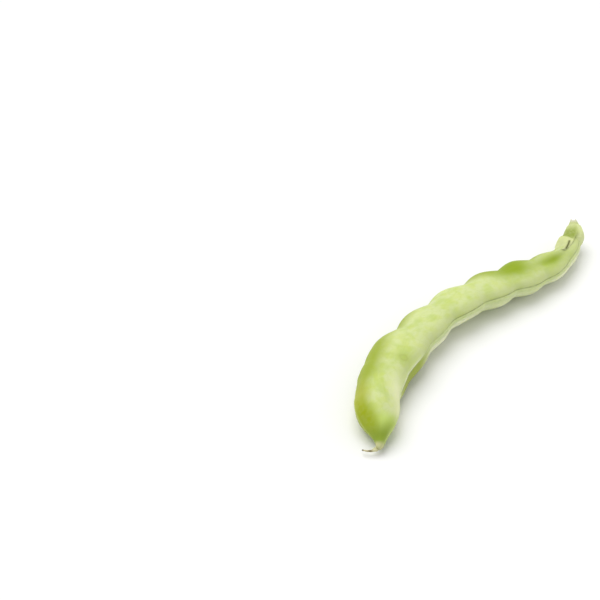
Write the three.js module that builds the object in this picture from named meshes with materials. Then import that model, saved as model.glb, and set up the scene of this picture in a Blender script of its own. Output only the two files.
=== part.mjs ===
// A broad bean pod as picked, lying on a flat surface.
// Millimetres, +Z up, +X from the beak towards the stalk. The surface is at z = 0, and the origin
// is on it, under the middle of the pod's outline.
import * as THREE from 'three';

// Middle line of the pod, from the tip of the beak to the cut end of the stalk.
// Each row: x, y, z of the middle, width from seam to seam, thickness from valve to valve,
// and the roll in degrees that lifts the near seam.
const STATIONS = [
  [-83.5, -12.9, 3.0, 2.8, 2.6, 0],
  [-81.9, -13.1, 3.6, 4.2, 3.9, 0],
  [-79.7, -11.8, 4.6, 6.4, 5.8, 0],
  [-75.4, -8.2, 6.4, 13.4, 11.6, -6],
  [-69.2, -3.2, 7.6, 17.4, 14.2, -12],
  [-59.7, 2.4, 7.8, 18.0, 14.2, 4],
  [-45.8, 7.1, 7.8, 19.9, 13.6, 13],
  [-27.6, 8.7, 7.8, 20.7, 13.4, 19],
  [-9.5, 8.4, 7.8, 20.2, 13.4, 23],
  [8.5, 4.6, 7.8, 20.1, 13.2, 23],
  [26.6, -1.5, 7.6, 19.9, 13.0, 19],
  [42.7, -8.2, 7.2, 18.2, 12.2, 13],
  [55.8, -12.4, 6.8, 15.4, 10.6, 9],
  [67.0, -13.4, 6.7, 11.6, 9.2, 7],
  [73.8, -12.0, 7.3, 9.2, 8.2, 4],
  [79.0, -10.0, 8.7, 8.0, 7.3, 0],
  [82.8, -7.6, 10.3, 5.1, 4.9, 0],
  [85.4, -5.6, 12.0, 2.1, 2.1, 0],
];

// Beans, from the beak: distance along the middle line, length of the swelling, strength
const BEANS = [
  [16.5, 30, 0.75],
  [36, 27, 0.8],
  [52.5, 25, 1.25],
  [73, 21, 0.95],
  [93.5, 20.5, 1.05],
  [112.5, 18.5, 1.05],
  [130, 17.5, 0.95],
  [146.5, 16, 0.5],
];
const BEAN_ROUNDNESS = 1.35;   // 1 makes the dents between beans sharp, 2 makes them wide
const SWELL_OUT = 2.7;         // how far a bean lifts each valve at the far seam
const SWELL_FOCUS = 1.6;       // above 1 keeps the swelling away from the seams
const SWELL_FADE = 1.8;        // above 0 lets the swelling fade towards the near seam
const VALVE_FULLNESS = 1.05;   // 1 is an oval section, more makes the seams sharper
const FAR_EDGE_WAVE = 3.0;     // how far the far seam draws in between two beans
const NEAR_EDGE_WAVE = 1.5;    // the same on the near seam, which is straighter
const FULL_HALF_WIDTH = 9;     // half width from which the edges wave and the seams stand out fully

// The lower valve stands out past the near seam: how far at most, the distances over which that sets
// in and fades out, the share of it that comes back with the other beans, and the middle and spread
// of the stretch where it doesn't
const LOWER_SWELL = 1.65;
const LOWER_SETS_IN = [26, 33];
const LOWER_FADES_OUT = [50, 84];
const LOWER_SHARE = 0.55;
const LOWER_GAP = [92, 10];
const LOWER_DIRECTION = [0.6, 0.8];

// Seams: two lips with a groove between them on the near side, one fine keel on the far side.
// The upper lip is the greater one by the beak, and the lower lip from a distance on.
const LIP_HEIGHT = 0.35;
const LESSER_LIP = 0.25;       // share of the height that the lesser lip has
const LIP_OFFSET = 1.1;
const LIP_SPREAD = 0.7;
const LIP_CHANGE_START = 47;
const LIP_CHANGE_END = 57;
const GROOVE_DEPTH = 0.2;
const GROOVE_SPREAD = 0.35;
const KEEL_HEIGHT = 0.45;
const KEEL_SPREAD = 0.8;

// By the neck the near seam climbs onto the upper valve: how far, and the distances over which it does
const SEAM_CLIMB = 2.3;
const SEAM_CLIMBS = [138, 158];

// The hollow in the upper valve by the neck: its depth, the angle from the near seam to its middle,
// and the distances over which it sets in and fades out
const HOLLOW_DEPTH = 1.1;
const HOLLOW_ANGLE = 1.22;
const HOLLOW_SPREAD = 0.32;
const HOLLOW_SETS_IN = [134, 143];
const HOLLOW_FADES_OUT = [152, 162];

// Where the pieces of the stem end begin and stop, as distances along the middle line
const NECK_END = 172;
const CUP_FLOOR = 172.6;
const CUP_END = 177.2;
const JOINT_GAP = 0.3;

// Calyx: a thin cup round the end of the neck, with five short teeth, two of which are joined into a
// broad long lobe over the far half of the upper valve. The far side of the lobe bulges away from
// the neck halfway along. Turns are counted from the near seam.
const TEETH = 5;
const TEETH_TIPS = 166.8;
const TOOTH_LENGTH = 1.6;
const LOBE_TURN = 0.37;
const LOBE_HALF_WIDTH = 0.17;
const LOBE_SQUARENESS = 18;
const LOBE_LENGTH = 10.8;
const LOBE_BULGE = 1.4;
const BULGE_TURNS = [0.30, 0.45];   // the bulge sets in between these turns
const BULGE_SETS_IN = [0.3, 0.45];  // and between these shares of the way to the tip
const BULGE_FADES_OUT = [0.55, 1.0];
const CUP_WALL = 0.6;
const CUP_FOOT_SHARE = 0.4;    // how much of the wall is left where the cup meets the stalk
const CUP_FLARE = 0.1;

// Style: the dried thread on the beak, with its radius at the root and at the tip
const STYLE_LINE = [
  [-83.9, -12.8, 2.8],
  [-85.3, -11.9, 2.6],
  [-86.3, -10.4, 2.4],
  [-86.8, -8.4, 2.1],
];
const STYLE_ROOT_RADIUS = 0.75;
const STYLE_TIP_RADIUS = 0.45;

// Fineness of the solids
const POD_RINGS = 108;
const POD_SIDES = 44;
const SEAM_CROWDING = 0.55;    // 0 spreads the sides evenly, towards 1 crowds them at the seams
const CUP_STEPS = 9;
const CUP_SIDES = 40;
const STALK_RINGS = 8;
const STALK_SIDES = 16;
const STYLE_RINGS = 14;
const STYLE_SIDES = 10;
const CURVE_STEPS = 1200;

const UP = new THREE.Vector3(0, 0, 1);

// A smooth curve through rows of three numbers
function smoothCurve(rows) {
  const points = rows.map((row) => new THREE.Vector3(...row));
  const curve = new THREE.CatmullRomCurve3(points, false, 'catmullrom', 0.5);
  curve.arcLengthDivisions = CURVE_STEPS;
  return curve;
}

const middleLine = smoothCurve(STATIONS.map((row) => row.slice(0, 3)));
const sizeCurve = smoothCurve(STATIONS.map((row) => row.slice(3)));
const LINE_LENGTH = middleLine.getLength();

// Section across the pod at a distance along the middle line: its middle, the directions to the
// near seam and to the upper valve, and its half width and half thickness
function sectionAt(distance) {
  const t = middleLine.getUtoTmapping(distance / LINE_LENGTH);
  const along = middleLine.getTangent(t);
  const sizes = sizeCurve.getPoint(t);
  const toSeam = new THREE.Vector3().crossVectors(along, UP).normalize();
  toSeam.applyAxisAngle(along, -THREE.MathUtils.degToRad(sizes.z));
  return {
    middle: middleLine.getPoint(t),
    toSeam,
    toValve: new THREE.Vector3().crossVectors(toSeam, along),
    halfWidth: sizes.x / 2,
    halfThickness: sizes.y / 2,
  };
}

// A point of a section, x towards the near seam and y towards the upper valve
function placeInSection(section, x, y) {
  return section.middle.clone()
    .addScaledVector(section.toSeam, x)
    .addScaledVector(section.toValve, y);
}

// A point on the oval section of the neck or stalk, made larger by a margin
function ovalPoint(section, margin, turn) {
  const angle = turn * 2 * Math.PI;
  const x = (section.halfWidth + margin) * Math.cos(angle);
  const y = (section.halfThickness + margin) * Math.sin(angle);
  return placeInSection(section, x, y);
}

// The swelling over the beans: the bean's strength over its middle, falling to 0 at its ends
function beanBulge(distance) {
  let bulge = 0;
  for (const [centre, length, strength] of BEANS) {
    const away = THREE.MathUtils.clamp((distance - centre) / (length / 2), -1, 1);
    bulge += strength * Math.cos(away * Math.PI / 2) ** BEAN_ROUNDNESS;
  }
  return bulge;
}

// How far the lower valve stands out at a distance and an angle, between the near seam and its flat
function lowerSwell(distance, bulge, angle) {
  const most = rise(distance, LOWER_SETS_IN) * (1 - rise(distance, LOWER_FADES_OUT));
  const share = LOWER_SHARE * bulge * (1 - bell(distance - LOWER_GAP[0], LOWER_GAP[1]));
  const fullness = THREE.MathUtils.lerp(share, 1, most);
  return LOWER_SWELL * fullness * Math.sin(2 * angle) ** 2;
}

// A bell curve of height 1 and the given spread
function bell(value, spread) {
  return Math.exp(-((value / spread) ** 2));
}

// How far a value has risen from 0 at the start of a span to 1 at its end
function rise(value, span) {
  return THREE.MathUtils.smoothstep(value, span[0], span[1]);
}

// The share of its full height that a lip has at a distance, on the upper or the lower valve
function lipShare(distance, isUpper) {
  const lower = THREE.MathUtils.smoothstep(distance, LIP_CHANGE_START, LIP_CHANGE_END);
  return THREE.MathUtils.lerp(LESSER_LIP, 1, isUpper ? 1 - lower : lower);
}

// The depth of the hollow by the neck at a distance and an angle from the near seam
function hollowDepth(distance, angle) {
  const lengthwise = rise(distance, HOLLOW_SETS_IN) * (1 - rise(distance, HOLLOW_FADES_OUT));
  return HOLLOW_DEPTH * lengthwise * bell(angle - HOLLOW_ANGLE, HOLLOW_SPREAD);
}

// A point on the skin of the pod: an oval section, waved and swollen by the beans, with its seams
function skinPoint(section, distance, bulge, angle) {
  const across = Math.cos(angle);
  const upward = Math.abs(Math.sin(angle));
  const side = Math.sign(Math.sin(angle));
  const share = Math.min(section.halfWidth / FULL_HALF_WIDTH, 1);
  const edgeWave = across > 0 ? NEAR_EDGE_WAVE : FAR_EDGE_WAVE;
  let x = (section.halfWidth + edgeWave * share * (bulge - 0.5)) * across;
  const swell = SWELL_OUT * bulge * upward ** SWELL_FOCUS * ((1 - across) / 2) ** SWELL_FADE;
  let y = section.halfThickness * upward ** VALVE_FULLNESS + swell;
  if (across > 0) {
    const fromSeam = y * side - SEAM_CLIMB * rise(distance, SEAM_CLIMBS);
    const onLip = bell(Math.abs(fromSeam) - LIP_OFFSET, LIP_SPREAD);
    const lip = LIP_HEIGHT * lipShare(distance, fromSeam > 0) * onLip;
    x += share * (lip - GROOVE_DEPTH * bell(fromSeam, GROOVE_SPREAD));
  } else {
    x -= share * KEEL_HEIGHT * bell(y, KEEL_SPREAD);
  }
  if (side < 0 && across > 0) {
    const standOut = lowerSwell(distance, bulge, angle);
    x += LOWER_DIRECTION[0] * standOut;
    y += LOWER_DIRECTION[1] * standOut;
  }
  const hollow = hollowDepth(distance, angle);
  x -= hollow * across;
  y -= hollow * upward;
  const point = placeInSection(section, x, y * side);
  // the pod lies on the surface, and what would sink below it is pressed flat
  point.z = Math.max(point.z, 0);
  return point;
}

// Rings of points joined into one closed body, with a fan over each end
function closedBody(rings, firstPole, lastPole) {
  const sides = rings[0].length;
  const points = [firstPole, ...rings.flat(), lastPole];
  const lastIndex = points.length - 1;
  const lastRing = rings.length - 1;
  const at = (ring, side) => 1 + ring * sides + (side % sides);
  const faces = [];
  for (let side = 0; side < sides; side += 1) {
    faces.push(0, at(0, side), at(0, side + 1));
    faces.push(lastIndex, at(lastRing, side + 1), at(lastRing, side));
    for (let ring = 0; ring < lastRing; ring += 1) {
      faces.push(at(ring, side), at(ring + 1, side), at(ring, side + 1));
      faces.push(at(ring, side + 1), at(ring + 1, side), at(ring + 1, side + 1));
    }
  }
  const geometry = new THREE.BufferGeometry();
  const places = new THREE.Float32BufferAttribute(points.flatMap((point) => point.toArray()), 3);
  geometry.setAttribute('position', places);
  geometry.setIndex(faces);
  geometry.computeVertexNormals();
  return geometry;
}

// Pod: the beak, the two valves with their beans, and the neck, which ends inside the calyx
function makePod() {
  const rings = [];
  for (let ring = 0; ring <= POD_RINGS; ring += 1) {
    const distance = ring / POD_RINGS * NECK_END;
    const section = sectionAt(distance);
    const bulge = beanBulge(distance);
    rings.push(Array.from({ length: POD_SIDES }, (_, side) => {
      const turn = side / POD_SIDES * 2 * Math.PI;
      const angle = turn - SEAM_CROWDING / 2 * Math.sin(2 * turn);
      return skinPoint(section, distance, bulge, angle);
    }));
  }
  return closedBody(rings, sectionAt(0).middle, sectionAt(NECK_END).middle);
}

// Calyx: from the floor of the cup along its inside to the teeth, then back outside to the stalk
function makeCalyx() {
  // a ring part of the way to the toothed edge, where each point has its own distance to go
  const wallRing = (share, from, margin) => Array.from({ length: CUP_SIDES }, (_, side) => {
    const turn = side / CUP_SIDES;
    const downTooth = Math.abs(2 * ((turn * TEETH + 0.5) % 1) - 1);
    const offLobe = Math.abs((turn - LOBE_TURN) / LOBE_HALF_WIDTH);
    const lobe = Math.max(0, 1 - offLobe ** LOBE_SQUARENESS);
    const edge = TEETH_TIPS + TOOTH_LENGTH * downTooth * (1 - lobe) - LOBE_LENGTH * lobe;
    const lengthwise = rise(share, BULGE_SETS_IN) * (1 - rise(share, BULGE_FADES_OUT));
    const bulge = LOBE_BULGE * lobe * rise(turn, BULGE_TURNS) * lengthwise;
    const section = sectionAt(THREE.MathUtils.lerp(from, edge, share));
    return ovalPoint(section, margin + bulge, turn);
  });
  const rings = [];
  for (let step = 0; step <= CUP_STEPS; step += 1) {
    const share = step / CUP_STEPS;
    rings.push(wallRing(share, CUP_FLOOR, JOINT_GAP + CUP_FLARE * share));
  }
  for (let step = CUP_STEPS; step >= 0; step -= 1) {
    const share = step / CUP_STEPS;
    const wall = CUP_WALL * Math.sqrt(Math.min(1, CUP_FOOT_SHARE + share));
    rings.push(wallRing(share, CUP_END, JOINT_GAP + wall + CUP_FLARE * share));
  }
  return closedBody(rings, sectionAt(CUP_FLOOR).middle, sectionAt(CUP_END).middle);
}

// Stalk: a short stub that narrows to its cut end
function makeStalk() {
  const start = CUP_END + JOINT_GAP;
  const rings = [];
  for (let ring = 0; ring <= STALK_RINGS; ring += 1) {
    const section = sectionAt(THREE.MathUtils.lerp(start, LINE_LENGTH, ring / STALK_RINGS));
    rings.push(Array.from({ length: STALK_SIDES }, (_, side) => (
      ovalPoint(section, 0, side / STALK_SIDES))));
  }
  return closedBody(rings, sectionAt(start).middle, sectionAt(LINE_LENGTH).middle);
}

// Style: a thread that tapers away from the beak
function makeStyle() {
  const line = smoothCurve(STYLE_LINE);
  const rings = [];
  for (let ring = 0; ring <= STYLE_RINGS; ring += 1) {
    const share = ring / STYLE_RINGS;
    const along = line.getTangentAt(share);
    const radius = THREE.MathUtils.lerp(STYLE_ROOT_RADIUS, STYLE_TIP_RADIUS, share);
    const toSeam = new THREE.Vector3().crossVectors(along, UP).normalize();
    const section = {
      middle: line.getPointAt(share),
      toSeam,
      toValve: new THREE.Vector3().crossVectors(toSeam, along),
      halfWidth: radius,
      halfThickness: radius,
    };
    rings.push(Array.from({ length: STYLE_SIDES }, (_, side) => (
      ovalPoint(section, 0, side / STYLE_SIDES))));
  }
  return closedBody(rings, line.getPointAt(0), line.getPointAt(1));
}

// Skins, with the colours of a fresh pod
const podSkin = new THREE.MeshStandardMaterial({ color: '#b9cc69', roughness: 0.5, metalness: 0 });
const calyxSkin = new THREE.MeshStandardMaterial({ color: '#b5c272', roughness: 0.7, metalness: 0 });
const stalkSkin = new THREE.MeshStandardMaterial({ color: '#b3c27a', roughness: 0.65, metalness: 0 });
const styleSkin = new THREE.MeshStandardMaterial({ color: '#6d4a2c', roughness: 0.8, metalness: 0 });

const broadBeanPod = new THREE.Group();
const pieces = [
  ['pod', makePod(), podSkin],
  ['calyx', makeCalyx(), calyxSkin],
  ['stalk', makeStalk(), stalkSkin],
  ['style', makeStyle(), styleSkin],
];
for (const [name, geometry, material] of pieces) {
  const mesh = new THREE.Mesh(geometry, material);
  mesh.name = name;
  broadBeanPod.add(mesh);
}

export default broadBeanPod;
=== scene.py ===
# The looks of a broad bean pod as picked, lying on a pale floor. Metres, +Z up, +X from beak to stalk.
import math

import bmesh
import bpy
import numpy as np
from bpy.props import FloatProperty, FloatVectorProperty, IntProperty, PointerProperty
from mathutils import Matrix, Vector, noise


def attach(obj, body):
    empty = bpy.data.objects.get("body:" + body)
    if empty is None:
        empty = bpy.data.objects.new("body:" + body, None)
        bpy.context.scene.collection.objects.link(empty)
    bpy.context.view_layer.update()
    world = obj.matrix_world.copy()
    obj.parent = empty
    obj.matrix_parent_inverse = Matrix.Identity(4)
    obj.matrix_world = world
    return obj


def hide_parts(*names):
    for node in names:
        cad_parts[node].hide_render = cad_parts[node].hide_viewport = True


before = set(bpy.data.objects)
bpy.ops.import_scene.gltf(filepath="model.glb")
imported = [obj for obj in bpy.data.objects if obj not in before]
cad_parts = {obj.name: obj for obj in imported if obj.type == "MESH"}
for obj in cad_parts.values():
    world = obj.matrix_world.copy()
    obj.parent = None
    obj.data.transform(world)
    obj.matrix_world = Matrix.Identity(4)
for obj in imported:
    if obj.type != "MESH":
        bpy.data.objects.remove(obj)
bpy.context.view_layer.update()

bl_info = {
    "name": "Broad Bean Pod",
    "version": (1, 0, 0),
    "blender": (4, 5, 0),
    "location": "View3D > Sidebar > Bean Pod",
    "description": "Dresses the packed solids of a broad bean pod, with its floor, lights and camera",
    "category": "Mesh",
}

BODY = "root"

# Middle line of the pod, from the tip of the beak to the cut end of the stalk.
# Each row: x, y, z of the middle, width from seam to seam, thickness from valve to valve,
# and the roll in degrees that lifts the near seam.
STATIONS = (
    (-0.0835, -0.0129, 0.0030, 0.0028, 0.0026, 0),
    (-0.0819, -0.0131, 0.0036, 0.0042, 0.0039, 0),
    (-0.0797, -0.0118, 0.0046, 0.0064, 0.0058, 0),
    (-0.0754, -0.0082, 0.0064, 0.0134, 0.0116, -6),
    (-0.0692, -0.0032, 0.0076, 0.0174, 0.0142, -12),
    (-0.0597, 0.0024, 0.0078, 0.0180, 0.0142, 4),
    (-0.0458, 0.0071, 0.0078, 0.0199, 0.0136, 13),
    (-0.0276, 0.0087, 0.0078, 0.0207, 0.0134, 19),
    (-0.0095, 0.0084, 0.0078, 0.0202, 0.0134, 23),
    (0.0085, 0.0046, 0.0078, 0.0201, 0.0132, 23),
    (0.0266, -0.0015, 0.0076, 0.0199, 0.0130, 19),
    (0.0427, -0.0082, 0.0072, 0.0182, 0.0122, 13),
    (0.0558, -0.0124, 0.0068, 0.0154, 0.0106, 9),
    (0.0670, -0.0134, 0.0067, 0.0116, 0.0092, 7),
    (0.0738, -0.0120, 0.0073, 0.0092, 0.0082, 4),
    (0.0790, -0.0100, 0.0087, 0.0080, 0.0073, 0),
    (0.0828, -0.0076, 0.0103, 0.0051, 0.0049, 0),
    (0.0854, -0.0056, 0.0120, 0.0021, 0.0021, 0),
)

# Beans, from the beak: distance along the middle line, length of the swelling, strength
BEANS = (
    (0.0165, 0.0300, 0.75),
    (0.0360, 0.0270, 0.80),
    (0.0525, 0.0250, 1.25),
    (0.0730, 0.0210, 0.95),
    (0.0935, 0.0205, 1.05),
    (0.1125, 0.0185, 1.05),
    (0.1300, 0.0175, 0.95),
    (0.1465, 0.0160, 0.50),
)
BEAN_ROUNDNESS = 1.35
SWELL_FOCUS = 1.6
SWELL_FADE = 1.8
VALVE_FULLNESS = 1.05
FAR_EDGE_WAVE = 0.0030
NEAR_EDGE_WAVE = 0.0015
FULL_HALF_WIDTH = 0.009
BLUNTNESS = 0.02

# The lower valve stands out past the near seam: the distances over which that sets in and fades out,
# the share of it that comes back with the other beans, the middle and spread of the stretch where
# it doesn't, and its direction, outwards and down
LOWER_SETS_IN = (0.026, 0.033)
LOWER_FADES_OUT = (0.050, 0.084)
LOWER_SHARE = 0.55
LOWER_GAP = (0.092, 0.010)
LOWER_DIRECTION = (0.6, 0.8)

# Seams: two uneven lips with a groove between them on the near side, one fine keel on the far side.
# The upper lip is the greater one by the beak, and the lower lip after a change.
LIP_OFFSET = 0.0011
LIP_SPREAD = 0.0007
LIP_CHANGE = (0.047, 0.057)
LESSER_LIP = 0.25
LIP_EVEN, LIP_UNEVEN, LIP_GRAIN = 0.8, 0.5, 0.0022
KEEL_HEIGHT = 0.00045
KEEL_SPREAD = 0.0008

# The groove is faint on a stretch of the pod. By the neck the near seam climbs onto the upper valve.
GROOVE_SPREAD = 0.00022
GROOVE_FAINTNESS = 0.65
GROOVE_FADES_OUT = (0.045, 0.055)
GROOVE_SETS_IN = (0.072, 0.088)
SEAM_CLIMB = 0.0023
SEAM_CLIMBS = (0.138, 0.158)

# Unevenness: each waver has its size, its seed and its share of the depth. The far side, the hollow
# and the neck have spans of the angle from the near seam or of the distance.
WAVERS = ((0.010, 1, 1.0), (0.0035, 2, 0.35))
PUCKER_SPREAD, PUCKER_CONTRAST = 0.0009, 6
FAR_SIDE = (1.9, 2.7)
HOLLOW_ANGLE = 1.22
HOLLOW_SPREAD = 0.32
HOLLOW_SETS_IN = (0.134, 0.143)
HOLLOW_FADES_OUT = (0.152, 0.162)
NECK_SETS_IN = (0.155, 0.166)
NECK_RIBS = 14

# A small healed mark on the upper valve: distance along the pod, angle from the near seam, and size
SCAR = (0.0455, 0.85, 0.0014)
SCAR_EDGE = 0.0004
MARK_SPREAD = 0.00308

# The radius that turns an angle round the pod into a length of skin
ARC_RADIUS = 0.0085

# Where the colours of the pod lie. Distances are along the middle line, angles are from the near
# seam, and heights from the groove. A bell has its middle and spread, after its own height if it
# isn't 1.
CREST_SETS_IN = (0.006, 0.016)
TIP_FADES_OUT = (0.0014, 0.0034)
BEAK_FADES_OUT = (0.0046, 0.0105)
BEAK_TONGUES = 0.0045
BEAK_ANGLES = (-0.2, 0.9)
BRIGHT_FADES_OUT = (0.0095, 0.0150)
# The olive by the beak is partly the skin's own colour and partly painted shade of the neighbouring pods
# on its far side.
OLIVE_SETS_IN, OLIVE_FADES_OUT = (0.003, 0.011), (0.020, 0.040)
OLIVE_ANGLES = (1.3, 2.3)
OLIVE_CLIMB, OLIVE_CLIMBS = 1.1, (0.010, 0.021)
GOLD_BELL = (0.0225, 0.0065)
# The near side of the first bean and of the neck is painted paler: partly the skin's own pale bloom,
# partly painted light from the white floor.
FIRST_BEAN_SETS_IN, FIRST_BEAN_FADES_OUT = (0.009, 0.017), (0.026, 0.040)
PALE_ANGLES = (0.45, 1.45)
PALE_NECK, PALE_NECK_SETS_IN, PALE_NECK_ANGLES = 0.6, (0.138, 0.156), (0.0, 0.8)
# Painted shade: in the hollow by the neck, whose wall turns away from the light, and a neighbouring pod's
# shadow on the bean before it. The bean's bell of the distance and span of the angle come first, then
# spots, each with its share, a bell of the distance and a bell of the angle.
SHADED_BEAN, SHADED_BEAN_ANGLES = (0.126, 0.0095), (0.5, 1.4)
SHADE_SPOTS = ((1.0, (0.1485, 0.0100), (HOLLOW_ANGLE, 0.50)), (0.25, (0.157, 0.006), (0.7, 0.4)))
# The far side's deeper green is partly the skin's own colour and partly painted shade of the neighbouring
# pods it lay against. Each row of FAR_COMES_NEARER brings that painted shade nearer the near seam by its
# share of an angle, round a middle distance with a spread.
FAR_ANGLES = (1.8, 2.6)
FAR_COMES_NEARER = (
    (0.25, 0.033, 0.006),
    (0.5, 0.044, 0.012),
    (0.2, 0.070, 0.010),
    (-0.3, 0.092, 0.010),
    (0.8, 0.122, 0.017),
)
# The pale band below the groove and its cream lower edge are partly the seam's own colour and partly
# painted light, the white floor's light on the lower valve.
BAND_SETS_IN = (0.047, 0.065)
BAND_TOP, BAND_FOOT = (-0.0003, 0.0), (-0.0085, -0.0045)
RIM_LULL, RIM_LULL_SETS_IN, RIM_LULL_FADES_OUT = 0.6, (0.085, 0.105), (0.136, 0.150)
RIM_DEPTHS, RIM_RISE = (0.0010, 0.0028), 0.0012
BEAK_RIM, BEAK_RIM_BELL, BEAK_RIM_SETS_IN = 0.9, (0.0007, 0.0005), (0.016, 0.024)
# Below the lip by the beak the lower valve is painted darker olive: partly its own colour, partly painted
# shade near the floor.
UNDER_HEIGHTS, UNDER_SETS_IN = (-0.0006, 0.0002), (0.020, 0.036)
GREY_HEIGHT, GREY_DROP, GREY_SPREAD, GREY_SETS_IN = 0.0030, 0.0012, 0.0016, (0.028, 0.040)
KEEL_FADING, KEEL_FADES = 0.3, (0.040, 0.055)

# Where the pieces of the stem end begin and stop, as distances along the middle line
NECK_END = 0.1720
CUP_FLOOR = 0.1726
CUP_END = 0.1772
STALK_ROOT = 0.1762

# Calyx: five short teeth, two of which are joined into a broad long lobe over the far half of the
# upper valve. Its far side bulges away from the neck. Turns are counted from the near seam.
TEETH = 5
TEETH_TIPS = 0.1668
TOOTH_LENGTH = 0.0016
TOOTH_ROUNDNESS = 1.4
LOBE_TURN = 0.37
LOBE_HALF_WIDTH = 0.17
LOBE_SQUARENESS = 18
LOBE_LENGTH = 0.0108
LOBE_BULGE = 0.0014
BULGE_TURNS = (0.30, 0.45)
CUP_GAP = 0.0003
CUP_INSET = 0.00015
CUP_GRAIN_SIZE, CUP_GRAIN_DEPTH = 0.0016, 0.00008

# The wall of the calyx: its thickness at the foot and how much of it the teeth lose, with spans of
# the climb up the wall, from 0 at its foot to 1 at its edge
WALL_AT_FOOT = 0.4
THINNING, THINS_OUT = 0.75, (0.5, 1)
BULGE_SETS_IN, BULGE_FADES_OUT = (0.3, 0.45), (0.55, 1)
CUP_RIBS_SET_IN, CUP_RIBS_FADE_OUT = (0, 0.2), (0.3, 0.8)
HUG_SETS_IN = (0.4, 1)

# The lobe's near corner lifts a little, and a dark line runs up from it, partly a brown dried edge and
# partly painted shadow of the gap under the lobe; painted shadow also darkens the corner. The line has the
# turn and distance that it starts from, its slant, its spread, and the distances of its two ends.
CORNER_LIFT = 0.12
LIFTED_TURNS = (0.22, 0.26)
CORNER_TURNS = (0.234, 0.248)
CORNER_DEPTHS = (-0.0012, -0.0008)
CREASE_TURN = 0.225
CREASE_START = 0.1580
CREASE_SLANT = 5.5
CREASE_SPREAD = 0.014
CREASE_SETS_IN = (0.1560, 0.1566)
CREASE_FADES_OUT = (0.1640, 0.1650)

# Where the colours of the calyx lie. A depth is measured back from its edge.
# The calyx is painted paler towards the stalk and on the near side and darker olive towards its teeth:
# partly its own colour, partly painted light and shade.
FOOT_SHARE, FOOT_SETS_IN, FOOT_TURNS = 0.9, (0.1705, 0.1790), (0.13, 0.25)
LIMB_BORDER, LIMB_BLUR, LIMB_DIP = 0.1682, 0.0004, (0.0020, 0.22, 0.10)
DRY_DEPTHS, DRY_LOBE, DRY_TURNS = (-0.0009, -0.0004), (0.2, 0.5), (0.30, 0.36)
CORNER_LOBE = (0.4, 0.6)
HEM_FADES_OUT = (0.1600, 0.1660)

# The dried thread on the beak
STYLE_LINE = (
    (-0.0839, -0.0128, 0.0028),
    (-0.0853, -0.0119, 0.0026),
    (-0.0863, -0.0104, 0.0024),
    (-0.0868, -0.0084, 0.0021),
)

# The thread's thick root, its wrinkles, and where its root and its brown parts lie along it, from 0
# to 1
STYLE_SWELLING, STYLE_SWELLING_SPREAD = 0.0005, 0.20
WRINKLE_SHARE, WRINKLE_SIZE = 0.1, 0.0007
ROOT_FADES_OUT = (0.22, 0.38)
BURNT_BELL, BURNT_TIP = (0.8, 0.46, 0.12), (0.86, 0.93)

# The stalk's ribs, and how torn its end is between and on the prongs that are left of it
STALK_RIBS = 9
STALK_INSET = 0.00004
PRONG_SHARPNESS = 1.5
PRONG_LENGTH = 0.75
RAGGEDNESS = 0.25
RAGGED_SHIFT = 1 / (2 * math.pi)
FIBRE_SETS_IN = (0.55, 0.95)
FIBRE_CROWDING = 0.01

# Fineness of the curves and of the rings of faces
CURVE_STEPS = 1200
SEAM_CROWDING = 0.55
STALK_SIDES, STALK_RINGS = 64, 40
STYLE_SIDES, STYLE_RINGS = 28, 90
TANGENT_STEP = 0.0001

# The floor, where the two lamps and the camera point, and the camera's lens in millimetres
FLOOR_RADIUS, FLOOR_SIDES = 40, 96
FLOOR_ROUGHNESS = 0.7
LIGHT_FROM = (0.03, 0.40, 1.0)
SIDE_LIGHT_AT = (0.170, -0.250, 0.180)
SIDE_LIGHT_ON = (0.070, -0.012, 0.0)
SIDE_LIGHT_SIZE = 0.25
PICTURE_MIDDLE = (-0.02668, 0.06810, 0.0)
LENS, SENSOR_WIDTH = 85, 36
NEAREST_VIEW = 0.01

UP = np.array((0.0, 0.0, 1.0))


class SmoothLine:
    """A smooth curve through rows of numbers, the first three of which are a place."""

    def __init__(self, rows):
        rows = np.array(rows, float)
        before, after = 2 * rows[0] - rows[1], 2 * rows[-1] - rows[-2]
        self.rows = np.vstack([before, rows, after])
        self.spans = len(rows) - 1
        self.shares = np.linspace(0, 1, CURVE_STEPS + 1)
        steps = np.diff(self.row_at(self.shares)[:, :3], axis=0)
        self.travelled = np.concatenate([[0], np.cumsum(np.linalg.norm(steps, axis=1))])
        self.length = self.travelled[-1]

    def row_at(self, share):
        """The row at each share of the way through the rows."""
        place = np.clip(share, 0, 1) * self.spans
        span = np.minimum(place.astype(int), self.spans - 1)
        w = (place - span)[:, None]
        a, b, c, d = (self.rows[span + k] for k in range(4))
        bend = 2 * a - 5 * b + 4 * c - d
        twist = 3 * b - a - 3 * c + d
        return b + w / 2 * (c - a + w * (bend + w * twist))

    def section(self, distance):
        """The row and the direction of the curve at each distance along it."""
        share = np.interp(distance, self.travelled, self.shares)
        before, after = self.row_at(share - TANGENT_STEP), self.row_at(share + TANGENT_STEP)
        ahead = after[:, :3] - before[:, :3]
        return self.row_at(share), ahead / np.linalg.norm(ahead, axis=1)[:, None]


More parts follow.
